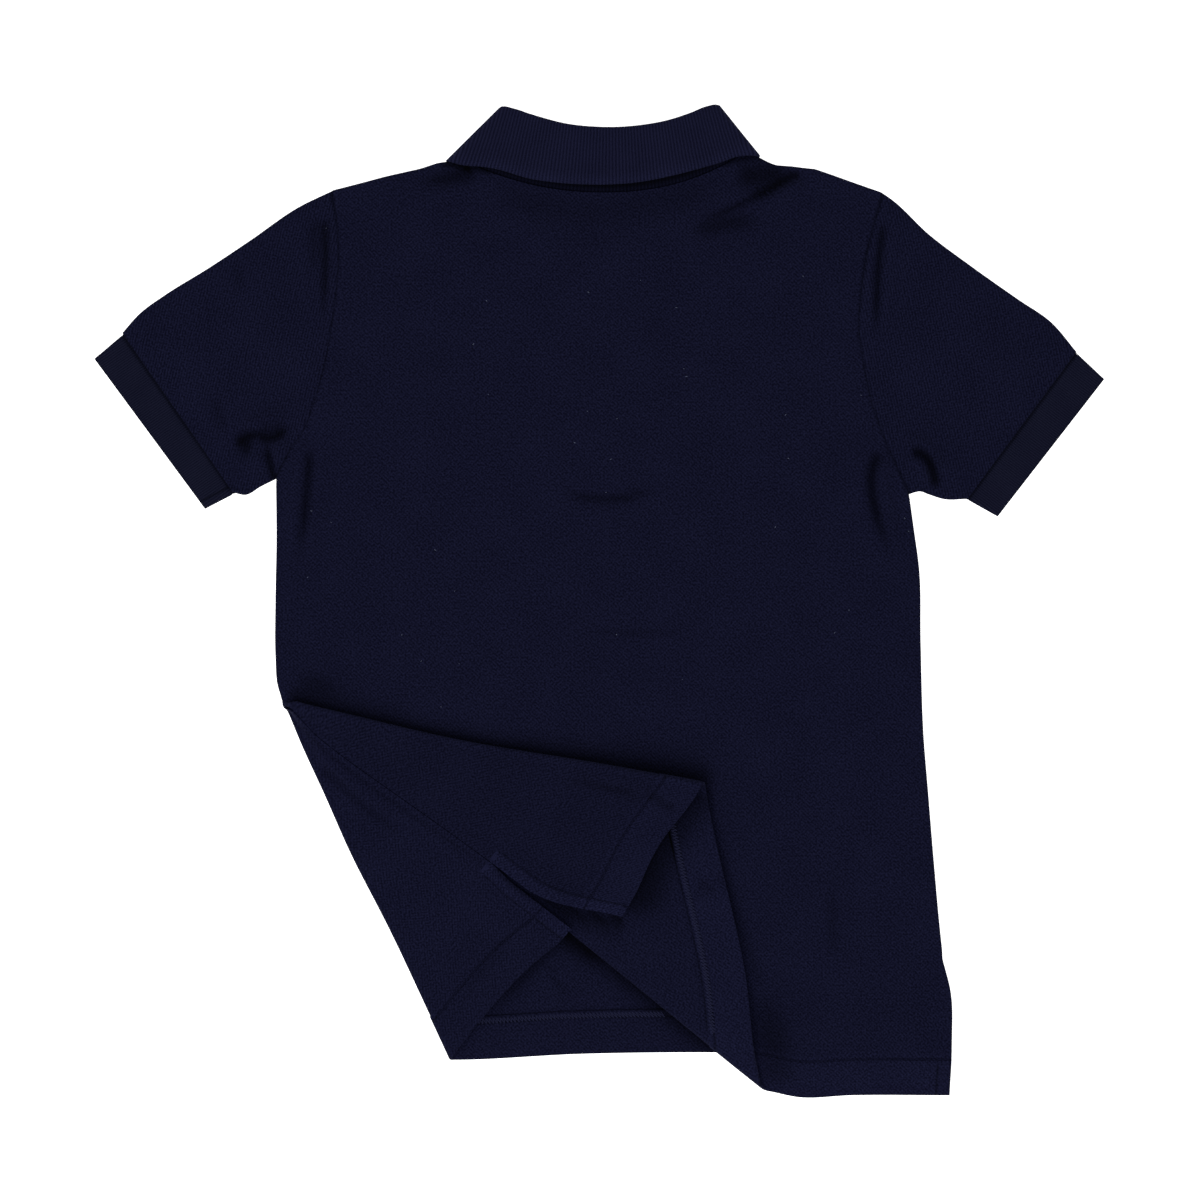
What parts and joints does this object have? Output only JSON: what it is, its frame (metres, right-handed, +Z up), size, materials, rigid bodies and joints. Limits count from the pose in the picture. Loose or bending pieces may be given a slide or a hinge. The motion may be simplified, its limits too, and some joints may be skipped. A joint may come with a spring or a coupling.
{
  "type": "polo shirt",
  "caption": "Child's short-sleeved polo shirt in navy pique, laid flat with its back up and one bottom corner folded over.",
  "frame": {"origin": "centre of the laid-out shirt's outline, on the surface that it rests on", "axes": "+X towards the wearer's right, +Y from the hem to the collar, +Z up from the surface"},
  "size_m": [0.5661, 0.556, 0.013],
  "materials": {
    "pique": "matt cotton pique",
    "rib": "matt cotton rib",
    "button": "satin resin"
  },
  "bodies": {
    "root": {"back_panel": "pique", "front_panel": "pique", "sleeve_left": "pique", "sleeve_right": "pique", "cuff_left": "rib", "cuff_right": "rib", "collar": "rib", "placket_over": "pique", "placket_under": "pique", "button_upper": "button", "button_lower": "button"}
  },
  "joints": []
}
